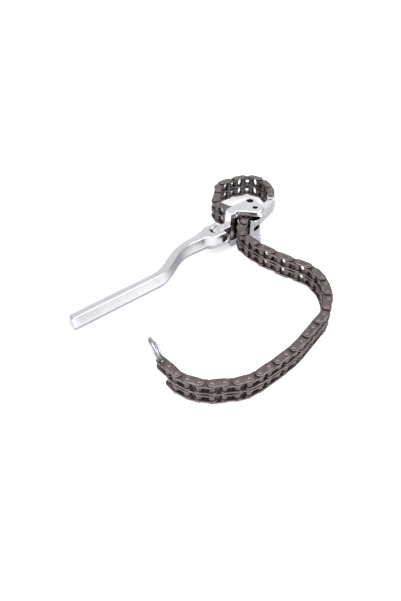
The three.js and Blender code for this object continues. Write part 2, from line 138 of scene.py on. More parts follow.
class Shells:
    """Collects closed shells, in millimetres, with their material numbers."""

    def __init__(self):
        self.verts, self.faces, self.materials = [], [], []

    def put(self, shape, material=0):
        verts, faces = shape
        base = len(self.verts)
        self.verts += [list(map(float, p)) for p in verts]
        self.faces += [[base + i for i in face] for face in faces]
        self.materials += [material] * len(faces)

    def mesh(self, name, materials):
        return new_mesh(name, (np.array(self.verts) * MM, self.faces),
                        materials=materials, face_materials=self.materials)


# ------------------------------------------------------------------ shapes: (verts, faces)
def skin(rings):
    """Capped tube of quads through rings of equally many points."""
    n = len(rings[0])
    last = len(rings) - 1
    verts = [p for ring in rings for p in ring]
    faces = []
    for k in range(last):
        for i in range(n):
            j = (i + 1) % n
            faces.append((k * n + i, k * n + j, (k + 1) * n + j, (k + 1) * n + i))
    faces.append(tuple(range(n))[::-1])
    faces.append(tuple(last * n + i for i in range(n)))
    return verts, faces


def extrude(points, z0, z1):
    return skin([[(x, y, z) for x, y in points] for z in (z0, z1)])


def inset(points, depth):
    """Outline moved inwards by depth, with the growth at sharp corners limited."""
    p = np.array(points, float)
    edge = np.roll(p, -1, 0) - p
    edge /= np.maximum(np.linalg.norm(edge, axis=1, keepdims=True), 1e-9)
    normal = np.stack([edge[:, 1], -edge[:, 0]], 1)
    middle = normal + np.roll(normal, 1, 0)
    middle /= np.maximum(np.linalg.norm(middle, axis=1, keepdims=True), 1e-9)
    cosine = np.clip((middle * normal).sum(1), 0.5, 1)
    return p - middle * (depth / cosine)[:, None]


def slab(points, z0, z1, low_edge, high_edge=None, steps=3):
    """Prism with rounded edges at both ends."""
    high_edge = low_edge if high_edge is None else high_edge
    rings = []
    for i in range(steps + 1):
        a = math.pi / 2 * i / steps
        outline = inset(points, low_edge * (1 - math.sin(a)))
        rings.append([(x, y, z0 + low_edge * (1 - math.cos(a))) for x, y in outline])
    for i in range(steps + 1):
        a = math.pi / 2 * (1 - i / steps)
        outline = inset(points, high_edge * (1 - math.sin(a)))
        rings.append([(x, y, z1 - high_edge * (1 - math.cos(a))) for x, y in outline])
    return skin(rings)


def crisp_slab(points, z0, z1):
    return slab(points, z0, z1, 0.01, steps=1)


def lathe(profile, sides, centre=(0.0, 0.0)):
    """Profile rows are (radius, z)."""
    cx, cy = centre
    turns = [2 * math.pi * i / sides for i in range(sides)]
    return skin([[(cx + r * math.cos(a), cy + r * math.sin(a), z) for a in turns]
                 for r, z in profile])


def cylinder(radius, z0, z1, sides, centre=(0.0, 0.0)):
    return lathe([(radius, z0), (radius, z1)], sides, centre)


def rounded(points, cuts, steps=4):
    """Polygon with each corner replaced by a short curve that starts one cut away."""
    out = []
    for i, (point, cut) in enumerate(zip(points, cuts)):
        p = np.array(point, float)
        back = np.array(points[i - 1], float) - p
        ahead = np.array(points[(i + 1) % len(points)], float) - p
        cut = min(cut, 0.45 * np.linalg.norm(back), 0.45 * np.linalg.norm(ahead))
        back *= cut / np.linalg.norm(back)
        ahead *= cut / np.linalg.norm(ahead)
        for t in np.linspace(0, 1, steps + 1):
            out.append(p + back * (1 - t) ** 2 + ahead * t ** 2)
    return out


def spline(points, steps):
    """Catmull-Rom through the given rows."""
    p = np.array(points, float)
    ext = np.vstack([2 * p[0] - p[1], p, 2 * p[-1] - p[-2]])
    out = []
    for i in range(1, len(ext) - 2):
        a, b, c, d = ext[i - 1], ext[i], ext[i + 1], ext[i + 2]
        for k in range(steps):
            t = k / steps
            out.append(0.5 * ((2 * b) + (c - a) * t + (2 * a - 5 * b + 4 * c - d) * t * t
                              + (3 * b - a - 3 * c + d) * t ** 3))
    out.append(p[-1])
    return np.array(out)


# ------------------------------------------------------------------ shader helpers
BLACK, WHITE = (0, 0, 0), (1, 1, 1)

# Blend towards a colour: none at start, the full amount at full.
Tint = namedtuple("Tint", "amount colour start full")
# Wide occlusion, painted as shade: reach in metres, occlusion values of the dark and the clear
# end, darkening.
Hollow = namedtuple("Hollow", "reach dark_at clear_at darken")


def feed(tree, target, inputs):
    """Link each socket given, and set each plain value."""
    for key, value in inputs.items():
        if isinstance(value, bpy.types.NodeSocket):
            tree.links.new(value, target.inputs[key])
        else:
            target.inputs[key].default_value = value


def node(tree, kind, inputs=None, **settings):
    made = tree.nodes.new("ShaderNode" + kind)
    for key, value in settings.items():
        setattr(made, key, value)
    feed(tree, made, inputs or {})
    return made


def new_material(name):
    material = bpy.data.materials.new(name)
    material.use_nodes = True
    tree = material.node_tree
    tree.nodes.clear()
    output = node(tree, "OutputMaterial")
    shader = node(tree, "BsdfPrincipled")
    tree.links.new(shader.outputs[0], output.inputs[0])
    return material, tree, shader


def ramp(tree, level, stops):
    made = node(tree, "ValToRGB", {0: level})
    elements = made.color_ramp.elements
    while len(elements) < len(stops):
        elements.new(0.5)
    for element, (position, colour) in zip(elements, stops):
        element.position = position
        element.color = (*colour, 1.0)
    return made.outputs[0]


def noise(tree, vector, scale, detail, rough=0.55, distortion=0.0):
    return node(tree, "TexNoise", {"Scale": scale, "Detail": detail, "Roughness": rough,
                                   "Distortion": distortion, "Vector": vector}).outputs["Fac"]


def calc(tree, operation, first, second):
    return node(tree, "Math", {0: first, 1: second}, operation=operation).outputs[0]


def mix(tree, factor, first, second, blend="MIX"):
    return node(tree, "Mix", {"Factor": factor, "A": first, "B": second},
                data_type="RGBA", blend_type=blend).outputs["Result"]


def blend_to(tree, colour, band, amount, target):
    return mix(tree, calc(tree, "MULTIPLY", band, amount), colour, (*target, 1))


def tinted(tree, colour, level, tint):
    stops = sorted([(tint.start, BLACK), (tint.full, WHITE)])
    return blend_to(tree, colour, ramp(tree, level, stops), tint.amount, tint.colour)


def occluded(tree, colour, hollow):
    # painted shade: darker where ambient occlusion finds nearby surfaces
    occlusion = node(tree, "AmbientOcclusion", {"Distance": hollow.reach}, samples=8)
    dark = ramp(tree, occlusion.outputs["AO"],
                [(hollow.dark_at, (1 - hollow.darken,) * 3), (hollow.clear_at, WHITE)])
    return mix(tree, 1.0, colour, dark, "MULTIPLY")


def shaded_box(tree, colour, position, box):
    """Paint shade into a soft-edged box; each axis is (start, full, last full, end) in layout mm.
    """
    mask = None
    axes = node(tree, "SeparateXYZ", {0: position})
    for axis, (start, full, last, end) in enumerate(box):
        for clear, dark in ((start, full), (end, last)):
            if clear is None:
                continue
            rising = clear < dark
            step = node(tree, "MapRange", {
                "From Min": (min(clear, dark) - float(ORIGIN[axis])) * MM,
                "From Max": (max(clear, dark) - float(ORIGIN[axis])) * MM,
                "To Min": 0.0 if rising else 1.0,
                "To Max": 1.0 if rising else 0.0,
                "Value": axes.outputs[axis]}, interpolation_type="SMOOTHSTEP").outputs[0]
            mask = step if mask is None else calc(tree, "MULTIPLY", mask, step)
    light = calc(tree, "SUBTRACT", 1.0, calc(tree, "MULTIPLY", mask, 0.985))
    grey = node(tree, "CombineXYZ", {0: light, 1: light, 2: light})
    return mix(tree, 1.0, colour, grey.outputs[0], "MULTIPLY")


def metal(name, tones, rough, blotch, grain, bump, metallic=1.0, specular=0.5, scratch=0.0,
          scratch_turn=0.0, hammer=0.0, crease_shade=0.0, reach=0.0022, edge=None, under=None,
          side=None, left=None, hollow=None, shade_boxes=()):
    """Metal with mottled colour, uneven gloss and fine grain.

    tones: ramp of colours; rough: least and most roughness; blotch, grain: noise scales;
    bump: relief in mm; scratch, hammer: their share of the relief; crease_shade: painted
    shade in creases within reach (m); edge: colour of the bevels, a painted highlight and wear;
    under, side, left: tints of painted shade on faces turned down, to +X and to -X; hollow:
    wide occlusion, painted as shade; shade_boxes: boxes of painted shade.
    """
    material, tree, shader = new_material(name)
    coords = node(tree, "TexCoord")
    position = coords.outputs["Object"]
    chance = node(tree, "ObjectInfo").outputs["Random"]
    # every object takes its own part of the texture
    offset = node(tree, "CombineXYZ", {0: chance, 1: chance}).outputs[0]
    offset = node(tree, "VectorMath", {0: offset, "Scale": 3.0}, operation="SCALE").outputs[0]
    vector = node(tree, "VectorMath", {0: position, 1: offset}, operation="ADD").outputs[0]

    colour = ramp(tree, noise(tree, vector, blotch, detail=5.0, rough=0.6, distortion=0.4), tones)
    height = calc(tree, "MULTIPLY", noise(tree, vector, grain, detail=3.0, rough=0.6), 1.0)
    if edge or under or side or left:
        normal = node(tree, "SeparateXYZ", {0: coords.outputs["Normal"]}).outputs
    if edge:
        # bevels lighter than the flats: painted highlight, and wear
        band = ramp(tree, calc(tree, "ABSOLUTE", normal[2], 0.0),
                    [(0.12, BLACK), (0.40, WHITE), (0.88, WHITE), (0.99, BLACK)])
        colour = blend_to(tree, colour, band, 0.75, edge)
    # faces turned down get a darker tint: painted shade and dark reflection
    if under:
        upward = calc(tree, "ADD", calc(tree, "MULTIPLY", normal[2], 0.5), 0.5)
        colour = tinted(tree, colour, upward, under)
    # faces turned to +X get a darker tint: painted shade
    if side:
        colour = tinted(tree, colour, normal[0], side)
    # faces turned to -X get a darker tint: painted shade
    if left:
        colour = tinted(tree, colour, calc(tree, "MULTIPLY", normal[0], -1.0), left)
    # creases darkened by ambient occlusion: painted shade
    if crease_shade:
        colour = occluded(tree, colour, Hollow(reach, dark_at=0.25, clear_at=0.85, darken=crease_shade))
    # wide occlusion darkening: painted shade in hollows and under overhangs
    if hollow:
        colour = occluded(tree, colour, hollow)
    # boxes of painted shade
    for box in shade_boxes:
        colour = shaded_box(tree, colour, position, box)

    gloss = node(tree, "MapRange", {
        "From Min": 0.3, "From Max": 0.7, "To Min": rough[0], "To Max": rough[1],
        "Value": noise(tree, vector, blotch * 3.1, detail=4.0, rough=0.65)})
    if scratch:
        stretched = node(tree, "Mapping", {"Scale": (60, 2200, 2200), "Vector": vector,
                                           "Rotation": (0, 0, scratch_turn)}).outputs[0]
        lines = noise(tree, stretched, 1.0, detail=2.0, rough=0.5)
        height = calc(tree, "ADD", height, calc(tree, "MULTIPLY", lines, scratch))
    if hammer:
        dents = noise(tree, vector, 140.0, detail=2.0, rough=0.5)
        height = calc(tree, "ADD", height, calc(tree, "MULTIPLY", dents, hammer))
    relief = node(tree, "Bump", {"Strength": 1.0, "Distance": bump * MM, "Height": height})
    feed(tree, shader, {
        "Base Color": colour, "Roughness": gloss.outputs[0], "Metallic": metallic,
        "Specular IOR Level": specular, "Normal": relief.outputs[0]})
    return material


# ------------------------------------------------------------------ materials
# Boxes of painted shade for the dark throat between the cheeks of the head.
SHADE_BOX_Z = (-24.4, -22.8, 0.2, 0.9)       # the space between the cheeks of the head
SHADE_BOXES = (((54.6, 59.0, 72.5, 73.2), (186.4, 187.8, None, None), SHADE_BOX_Z),
        ((71.0, 72.0, 83.0, 83.8), (190.2, 191.2, 208.0, 214.0), SHADE_BOX_Z))

# Handle: faces turned down, to +X and to -X carry painted shade and dark reflection.
handle_mat = metal(
    "handle_plate", [(0.3, (0.76, 0.755, 0.785)), (0.7, (0.86, 0.855, 0.88))],
    rough=(0.13, 0.21), blotch=45, grain=1400, bump=0.006, scratch=0.4,
    scratch_turn=rad(-38), hammer=3.0,
    under=Tint(amount=0.85, colour=(0.33, 0.35, 0.41), start=0.48, full=0.36),
    side=Tint(amount=0.85, colour=(0.22, 0.21, 0.24), start=0.72, full=0.90),
    left=Tint(amount=0.8, colour=(0.46, 0.48, 0.53), start=0.05, full=0.55))
# Head: faces turned down and to +X, creases, hollows and the throat boxes carry painted shade.
head_mat = metal(
    "head_plate", [(0.3, (0.80, 0.795, 0.83)), (0.7, (0.89, 0.885, 0.915))],
    rough=(0.16, 0.25), blotch=60, grain=1300, bump=0.006, scratch=0.2, hammer=4.0,
    crease_shade=0.45, reach=0.004,
    under=Tint(amount=0.85, colour=(0.44, 0.44, 0.48), start=0.66, full=0.42),
    side=Tint(amount=0.85, colour=(0.40, 0.39, 0.43), start=0.25, full=0.85),
    hollow=Hollow(reach=0.014, dark_at=0.20, clear_at=0.70, darken=0.42), shade_boxes=SHADE_BOXES)
# Chain, rivet, roller and ring: the darkening of creases is painted shade; the lighter plate
# bevels are painted highlight and wear.
plate_mat = metal(
    "link_plate",
    [(0.25, (0.137, 0.110, 0.104)), (0.5, (0.196, 0.162, 0.155)), (0.78, (0.268, 0.223, 0.215))],
    rough=(0.28, 0.44), blotch=260, grain=3200, bump=0.012, crease_shade=0.78, reach=0.003,
    edge=(0.428, 0.369, 0.364))
inner_mat = metal(
    "link_inner",
    [(0.25, (0.113, 0.091, 0.086)), (0.5, (0.161, 0.132, 0.127)), (0.78, (0.220, 0.184, 0.177))],
    rough=(0.28, 0.46), blotch=240, grain=3000, bump=0.012, crease_shade=0.82, reach=0.003,
    edge=(0.369, 0.319, 0.319))
rivet_mat = metal(
    "rivet_head", [(0.3, (0.190, 0.162, 0.157)), (0.7, (0.297, 0.256, 0.251))],
    rough=(0.20, 0.34), blotch=500, grain=4000, bump=0.01, crease_shade=0.6)
roller_mat = metal(
    "roller", [(0.3, (0.119, 0.099, 0.101)), (0.7, (0.226, 0.193, 0.196))],
    rough=(0.20, 0.34), blotch=300, grain=3000, bump=0.008, crease_shade=0.85, reach=0.004)
# Nearly black and dull, so the pin ends deep in their bores read dark: painted shade of the
# bores.
pin_mat = metal(
    "recess_pin", [(0.3, (0.008, 0.008, 0.009)), (0.7, (0.022, 0.021, 0.022))],
    rough=(0.45, 0.65), blotch=400, grain=2500, bump=0.02, metallic=0.3, specular=0.08)
ring_mat = metal(
    "ring_wire", [(0.3, (0.33, 0.33, 0.355)), (0.7, (0.46, 0.46, 0.49))],
    rough=(0.28, 0.40), blotch=300, grain=3500, bump=0.006, crease_shade=0.5, reach=0.0015)

# ------------------------------------------------------------------ chain links
PITCH = 9.525
HALF_PITCH = PITCH / 2
CHAIN_MID = -11.55      # mid height of the double-strand chain
STRAND = 5.12           # from the chain's mid height to that of a strand
STRAND_HALF = 4.2       # half the height of a strand over its plates
INNER_T = 1.3
INNER_R = 4.1
OUTER_T = 1.2
OUTER_R = 3.6
MID_T = 1.2
GAP = 0.3               # between inner and outer plates
ROLLER_R = 3.17
ROLLER_GAP = 0.08
BUSH_R = 2.25
PIN_R = 1.64

INNER_TOP = CHAIN_MID + STRAND + STRAND_HALF
INNER_LOW = 2 * CHAIN_MID - INNER_TOP
BETWEEN_TOP = CHAIN_MID + STRAND - STRAND_HALF      # top of the gap between the strands
OUTER_TOP = INNER_TOP + GAP + OUTER_T
OUTER_LOW = 2 * CHAIN_MID - OUTER_TOP

# Riveted pin end: radius, rise above the plate face.
RIVET = [(1.72, -0.25), (1.72, 0.16), (1.66, 0.30), (1.50, 0.43), (1.22, 0.54), (0.85, 0.61),
         (0.55, 0.63), (0.38, 0.60), (0.05, 0.57)]


def stadium(r, arc_steps=14, side_steps=6):
    """Link plate outline: two round ends one pitch apart."""
    out = []
    for end in (1, -1):
        for i in range(arc_steps + 1):
            a = rad(-90 * end + 180 * i / arc_steps)
            out.append((end * HALF_PITCH + r * math.cos(a), r * math.sin(a)))
        for i in range(1, side_steps):
            out.append((end * (HALF_PITCH - PITCH * (i / side_steps)), end * r))
    return out


def outer_link_mesh():
    shells = Shells()
    outline = stadium(OUTER_R)
    for low, high in ((OUTER_TOP - OUTER_T, OUTER_TOP), (OUTER_LOW, OUTER_LOW + OUTER_T)):
        shells.put(slab(outline, low, high, 0.22))
    shells.put(slab(outline, CHAIN_MID - MID_T / 2, CHAIN_MID + MID_T / 2, 0.16))
    for x in (-HALF_PITCH, HALF_PITCH):
        shells.put(cylinder(PIN_R, OUTER_LOW + 0.2, OUTER_TOP - 0.2, 28, (x, 0)), 1)
        for face, sign in ((OUTER_TOP, 1), (OUTER_LOW, -1)):
            shells.put(lathe([(r, face + sign * rise) for r, rise in RIVET], 32, (x, 0)), 1)
    return shells.mesh("outer_link", (plate_mat, rivet_mat))


def inner_plates(low, high):
    """Heights of the two plates of a strand."""
    return (low, low + INNER_T), (high - INNER_T, high)


def roller(x, low, high):
    z0, z1 = low + INNER_T + ROLLER_GAP, high - INNER_T - ROLLER_GAP
    half = [(2.6, 0), (2.95, 0), (ROLLER_R - 0.05, 0.12), (ROLLER_R, 0.3)]
    profile = [(r, z0 + dz) for r, dz in half] + [(r, z1 - dz) for r, dz in half[::-1]]
    return lathe(profile, 32, (x, 0))


def inner_link_mesh():
    shells = Shells()
    for mid in (CHAIN_MID + STRAND, CHAIN_MID - STRAND):
        low, high = mid - STRAND_HALF, mid + STRAND_HALF
        for z0, z1 in inner_plates(low, high):
            shells.put(slab(stadium(INNER_R), z0, z1, 0.2))
        for x in (-HALF_PITCH, HALF_PITCH):
            shells.put(roller(x, low, high), 1)
            shells.put(cylinder(BUSH_R, low - 0.12, high + 0.12, 28, (x, 0)), 1)
    return shells.mesh("inner_link", (inner_mat, roller_mat))


def end_link_mesh():
    """Free end: the upper strand only, with an open, countersunk hole for the ring."""
    mid = CHAIN_MID + STRAND
    low, high = mid - STRAND_HALF, mid + STRAND_HALF
    materials = (inner_mat, roller_mat)
    shells = Shells()
    shells.put(roller(HALF_PITCH, low, high), 1)
    parts = [add_object(shells.mesh("end_rollers", materials))]

    for z0, z1 in inner_plates(low, high):
        shape = moved(slab(stadium(INNER_R), z0, z1, 0.2), in_metres)
        plate = add_object(new_mesh("end_plate", shape, materials=(inner_mat,)))
        for x, r in ((-HALF_PITCH, 1.95), (HALF_PITCH, 2.05)):
            # the lower plate keeps no hole at the ring end: a dark sheet put for the shade seen
            # through the upper hole
            if x < 0 and z0 == low:     # the ring passes through the upper plate only
                continue
            bore = lathe([(r + 0.5, z0 - 0.3), (r, z0 + 0.2), (r, z1 - 0.2),
                          (r + 0.5, z1 + 0.3)], 40, (x, 0))
            combine(plate, moved(bore, in_metres))
        smooth(plate.data)
        parts.append(plate)

    shape = moved(cylinder(BUSH_R, low - 0.05, high + 0.05, 28, (HALF_PITCH, 0)), in_metres)
    bush = add_object(new_mesh("end_bush", shape, materials=(roller_mat,)))
    combine(bush, moved(cylinder(1.85, low - 1, high + 1, 28, (HALF_PITCH, 0)), in_metres))
    parts.append(bush)

    bm = bmesh.new()
    for part in parts:
        index = {i: materials.index(m) for i, m in enumerate(part.data.materials)
                 if m in materials}
        first = len(bm.faces)
        bm.from_mesh(part.data)
        bm.faces.ensure_lookup_table()
        for face in bm.faces[first:]:
            face.material_index = index.get(face.material_index, 0)
    mesh = bpy.data.meshes.new("chain_end")
    bm.to_mesh(mesh)
    bm.free()
    for part in parts:
        bpy.data.objects.remove(part)
    for material in materials:
        mesh.materials.append(material)
    smooth(mesh)
    return mesh


# ------------------------------------------------------------------ chain run
CHAIN_START = (-6.78, 7.25)
HEAD_LINK = 37          # this link rides with the head

# Direction of each link from the free end to the lug, degrees from +X.
HEADING = [
    -47.0, -50.5, -32.01, -18.99, -7.38, 7.22, 6.16, 17.59, 31.74, 40.05, 39.03, 42.53,
    42.86, 48.91, 53.25, 53.03, 53.9, 51.26, 65.66, 74.13, 82.7, 93.34, 101.35, 116.03,
    128.32, 148.05, 149.98, 144.55, 141.69, 143.2, 132.35, 131.37, 123.96, 97.47, 66.53,
    73.19, 107.16, 141.57, 175.05, 143.46, 109.77, 76.33, 83.33, 90.91, 62.08, 35.79,
    32.25, 24.48, 0.77, -32.48, -57.75, -69.92, -79.77, -93.1]
# Lean of each link about X in degrees: flat at first, tilted over the last links.
TILT = [0.0] * 38 + [0.72, 1.44, 2.16, 2.88, 3.6, 4.32, 5.04, 5.76, 6.48, 7.2, 7.2, 7.2,
                     6.72, 6.24, 5.76, 5.28]


def chain_frames():
    """(start pin, end pin, along, side, up) of every link, in layout mm."""
    frames = []
    pin = np.array([*CHAIN_START, 0.0])
    for heading, tilt in zip(HEADING, TILT):
        h, t = rad(heading), rad(tilt)
        along = np.array([math.cos(h), math.sin(h) * math.cos(t), -math.sin(h) * math.sin(t)])
        up = np.array([0, math.sin(t), math.cos(t)])
        following = pin + PITCH * along
        frames.append((pin, following, along, np.cross(up, along), up))
        pin = following
    return frames


def link_matrix(frame):
    start, end, along, side, up = frame
    matrix = Matrix.Identity(4)
    for column, vector in enumerate((along, side, up, in_row((start + end) / 2))):
        for i in range(3):
            matrix[i][column] = float(vector[i])
    return matrix


def build_chain(frames):
    outer_mesh = outer_link_mesh()
    inner_mesh = inner_link_mesh()
    for i, frame in enumerate(frames):
        kind = "outer_link" if i % 2 else "inner_link"
        name = "%s_%02d" % (kind, i // 2 + 1)
        mesh = outer_mesh if i % 2 else inner_mesh
        if i == 0:
            name, mesh = "chain_end_link", end_link_mesh()
        link = add_object(mesh, "v_" + name, link_matrix(frame))
        register(link, "head" if i == HEAD_LINK else name, name)


frames = chain_frames()
build_chain(frames)

# ------------------------------------------------------------------ handle
HANDLE_MID = -12.5
HALF_H = 7.5
RIDGE = -1.5            # height of the side ridges from the handle's mid height
FORK_ANGLE = rad(34.0)
FORK_ROOT = (34.4, 175.0)
FORK_HALF = 10.8
SLOT_HALF = 8.8 / 2
SLOT_START = 0.6
PIVOT_AT = 9.6          # from the fork root along the fork
PIVOT_BORE = 3.2
FORK_END = 13.6
TIP_ARC_AT = FORK_END - 4.6
THROUGH = 20            # half length of cutters that pass right through

ALONG = np.array([math.cos(FORK_ANGLE), math.sin(FORK_ANGLE)])
NEAR = np.array([math.sin(FORK_ANGLE), -math.cos(FORK_ANGLE)])     # across, towards -Y

# Domed butt end: distance behind the first station, scale of the section.
BUTT = ((1.75, 0.60), (1.70, 0.72), (1.45, 0.82), (0.95, 0.90), (0.35, 0.965))
BUTT_HALF, BUTT_RIDGE = 3.0, 5.9
# Bar stations: x, y, half width of top and bottom, half width at the ridges.
BAR = [
    [-84.2, 56.9, BUTT_HALF, BUTT_RIDGE], [-60.0, 75.9, 3.0, 5.9], [-30.0, 99.2, 3.0, 5.9],
    [-19.6, 107.3, 3.1, 5.9], [-13.2, 113.2, 3.4, 6.1], [-8.6, 120.2, 3.6, 6.3],
    [-5.2, 128.4, 3.7, 6.4], [-1.9, 136.8, 3.6, 6.3], [2.0, 145.0, 3.5, 6.2],
    [7.2, 152.4, 3.5, 6.2], [13.4, 158.6, 3.7, 6.6], [19.6, 163.6, 4.3, 7.3]]
# Fork stations: distance along the fork, then the same two half widths.
FORK = [(-9.5, 5.6, 8.0), (-5.2, 8.4, 9.9), (-1.5, 9.6, 10.7), (4.0, 9.8, 10.8),
        (FORK_END, 9.8, FORK_HALF)]


def fork_point(along, across, z):
    p = np.array(FORK_ROOT) + along * ALONG + across * NEAR
    return (p[0], p[1], z)


def fork_frame(p):
    """(along the fork, up, across towards the near side) to layout."""
    return fork_point(p[0], p[2], HANDLE_MID + p[1])


def pivot_frame(p):
    """As fork_frame, measured from the pivot axis."""
    return fork_frame((PIVOT_AT + p[0], p[1], p[2]))


def hexagon(half, ridge, height, soft_flat=0.9, soft_ridge=1.2):
    """Six-sided section with rounded corners, as (across, height)."""
    corners = [(-half, height), (half, height), (ridge, RIDGE),
               (half, -height), (-half, -height), (-ridge, RIDGE)]
    return rounded(corners, [soft_flat, soft_flat, soft_ridge] * 2)


def section_ring(centre, direction, section):
    x, y = centre
    return [(x + across * direction[1], y - across * direction[0], HANDLE_MID + z)
            for across, z in section]


def unit(vector):
    return vector / np.linalg.norm(vector)


def handle_bar():
    stations = BAR + [[*fork_point(u, 0, 0)[:2], half, ridge] for u, half, ridge in FORK]
    path = spline(stations, 7)
    start = unit(path[1][:2] - path[0][:2])
    rings = []
    for back, k in BUTT:
        section = hexagon(BUTT_HALF * k, BUTT_RIDGE * k, HALF_H * k)
        rings.append(section_ring(path[0][:2] - start * back, start, section))
    for i, (x, y, half, ridge) in enumerate(path):
        before, after = path[max(0, i - 1)], path[min(len(path) - 1, i + 1)]
        wide = min(1.0, max(0.0, (half - 4.0) / 5.0))
        section = hexagon(half, ridge, HALF_H, soft_flat=0.45 + 0.5 * wide)
        rings.append(section_ring((x, y), unit(after[:2] - before[:2]), section))
    return skin(rings)


def fork_slot():
    """Slot between the fork's arms, with a shallow curved root."""
    outline = [(SLOT_START, -SLOT_HALF), (30, -SLOT_HALF), (30, SLOT_HALF),
               (SLOT_START, SLOT_HALF)]
    for i in range(1, 8):
        a = rad(90 + 180 * i / 8)
        outline.append((SLOT_START + 1.8 * math.cos(a), SLOT_HALF * math.sin(a)))
    return crisp_slab([fork_point(u, w, 0)[:2] for u, w in outline],
                      HANDLE_MID - THROUGH, HANDLE_MID + THROUGH)


def fork_tip():
    """Cutter that leaves the fork's tips rounded in side view."""
    tip = [(FORK_END + 8, -12), (TIP_ARC_AT, -12)]
    for i in range(17):
        a = rad(-90 + 180 * i / 16)
        tip.append((TIP_ARC_AT + 4.8 * math.cos(a), (HALF_H + 0.4) * math.sin(a)))
    tip += [(TIP_ARC_AT, 12), (FORK_END + 8, 12)]
    return moved(extrude(tip[::-1], -THROUGH, THROUGH), fork_frame)


def pivot_bore():
    return moved(cylinder(PIVOT_BORE, -THROUGH, THROUGH, 40), pivot_frame)


def build_handle():
    handle = solid(moved(handle_bar(), in_row), "v_handle")
    cutters = [fork_slot(), fork_tip(), pivot_bore()]
    for sign in (-1, 1):
        sink = lathe([(3.0, sign * 9.9), (4.1, sign * 11.0), (4.3, sign * 12.5)], 40)
        cutters.append(moved(sink, pivot_frame))
    for cutter in cutters:
        combine(handle, moved(cutter, in_row))
    bevel = handle.modifiers.new("bev", "BEVEL")
    bevel.width = 0.45 * MM
    bevel.segments = 3
    bevel.limit_method = "ANGLE"
    bevel.angle_limit = rad(42)
    bake(handle)
    handle.data.materials.clear()
    handle.data.materials.append(handle_mat)
    smooth(handle.data, 50)
    weighted = handle.modifiers.new("wn", "WEIGHTED_NORMAL")
    weighted.keep_sharp = True
    bake(handle)
    register(handle, "handle", "handle")


def build_pin(node_name, shape):
    mesh = new_mesh("v_" + node_name, moved(shape, in_row), angle=40, materials=(pin_mat,))
    register(add_object(mesh, "v_" + node_name), "head", node_name)


def build_pivot_pin():
    half = [(0.6, 10.25), (1.0, 10.2), (2.3, 10.2), (2.9, 9.7)]     # radius, distance out
    profile = [(r, -z) for r, z in half] + half[::-1]
    build_pin("handle_pivot_pin", moved(lathe(profile, 40), pivot_frame))


build_handle()
build_pivot_pin()

# ------------------------------------------------------------------ head
CHEEK_TOP = 6.5
CHEEK_TOP_UNDER = 0.7
CHEEK_LOW_OVER = -23.6
CHEEK_LOW = -31.8
TONGUE_R = 7.3
TONGUE_HALF = 4.0
WALL_X = 73.6
WALL_Y = 189.6

# Neck stations: along the fork, far side, near side, bottom, top.
NECK = [
    (18.2, -4, 4, HANDLE_MID - TONGUE_R, HANDLE_MID + TONGUE_R),
    (20.2, -5.6, 3.6, HANDLE_MID - 7.9, HANDLE_MID + 7.9),
    (21.8, -7.6, 2.2, HANDLE_MID - 13.2, HANDLE_MID + 13.0),
    (23.3, -8.6, 0.8, CHEEK_LOW, CHEEK_TOP),
    (28.6, -9.4, 1.6, CHEEK_LOW, CHEEK_TOP)]
# Cheek outlines, x and y; both share the far edge.
FAR_EDGE = [[83.3, 207.6], [81.4, 211.4], [78.8, 214.6], [75.6, 216.4], [72.6, 215.8],
            [62.0, 207.2], [54.0, 200.6]]
UPPER_CHEEK = [[50.2, 196.2], [53.4, 188.4], [60.4, 193.4], [70.5, 192.2], [80.1, 190.6],
               [84.6, 193.6], [87.0, 199.0], [85.6, 204.6]] + FAR_EDGE
LOWER_CHEEK = [[50.2, 196.2], [55.2, 183.4], [60.6, 187.6], [70.5, 189.0], [80.1, 189.0],
               [83.4, 189.4], [86.0, 190.6], [86.2, 193.4], [84.2, 195.0],
               [84.4, 204.6]] + FAR_EDGE
# Web between the cheeks at their handle end, x and y.
WEB = [(50.2, 196.2), (54.8, 187.8), (57.6, 188.6), (60.2, 190.6), (60.9, 193.2),
       (58.6, 197.0), (54.6, 199.2)]
# Arm stations: x, y, half width, top, bottom at the +X edge, bottom at the -X edge,
# direction in degrees.
ARM = [
    [81.0, 195.6, 5.2, 4.2, -7.0, -30.0, 62], [87.2, 202.6, 5.6, 3.8, -7.0, -17.0, 56],
    [92.4, 211.0, 5.3, 2.8, -8.0, -16.0, 62], [95.9, 219.6, 4.7, 0.9, -11.4, -18.0, 72],
    [97.3, 226.4, 4.2, -1.6, -14.0, -21.6, 82]]
# Shoulder where the wall runs into the arm, x and y.
SHOULDER = [(82.0, WALL_Y), (84.2, 189.7), (85.6, 190.9), (86.4, 193.4), (85.0, 196.5),
            (82.0, 196.5)]
# Upright cross pins: node, centre, bore radius, pin radius.
CROSS_PINS = [("nose_pin", (73.9, 210.9), 3.4, 3.38), ("catch_pin", (78.3, 199.0), 2.55, 2.54)]


def tongue():
    """Round-ended tongue between the fork's arms."""
    outline = []
    for i in range(21):
        a = rad(90 + 180 * i / 20)
        outline.append((PIVOT_AT + TONGUE_R * math.cos(a), TONGUE_R * math.sin(a)))
    outline += [(21, -TONGUE_R), (21, TONGUE_R)]
    return moved(slab(outline, -TONGUE_HALF, TONGUE_HALF, 0.5), fork_frame)


def neck():
    return skin([[fork_point(u, far, top), fork_point(u, near, top),
                  fork_point(u, near, low), fork_point(u, far, low)]
                 for u, far, near, low, top in NECK])


def arm():
    rings = []
    for x, y, w, top, outer, inner, angle in spline(ARM, 6):
        nx, ny = math.sin(rad(angle)), -math.cos(rad(angle))
        section = rounded([(-w, top - 0.7), (w * 0.35, top), (w, top - 1.9), (w, outer),
                           (-w, inner)], (1.5, 3.0, 2.6, 3.0, 1.4))
        rings.append([(x + k * nx, y + k * ny, z) for k, z in section])
    return skin(rings)


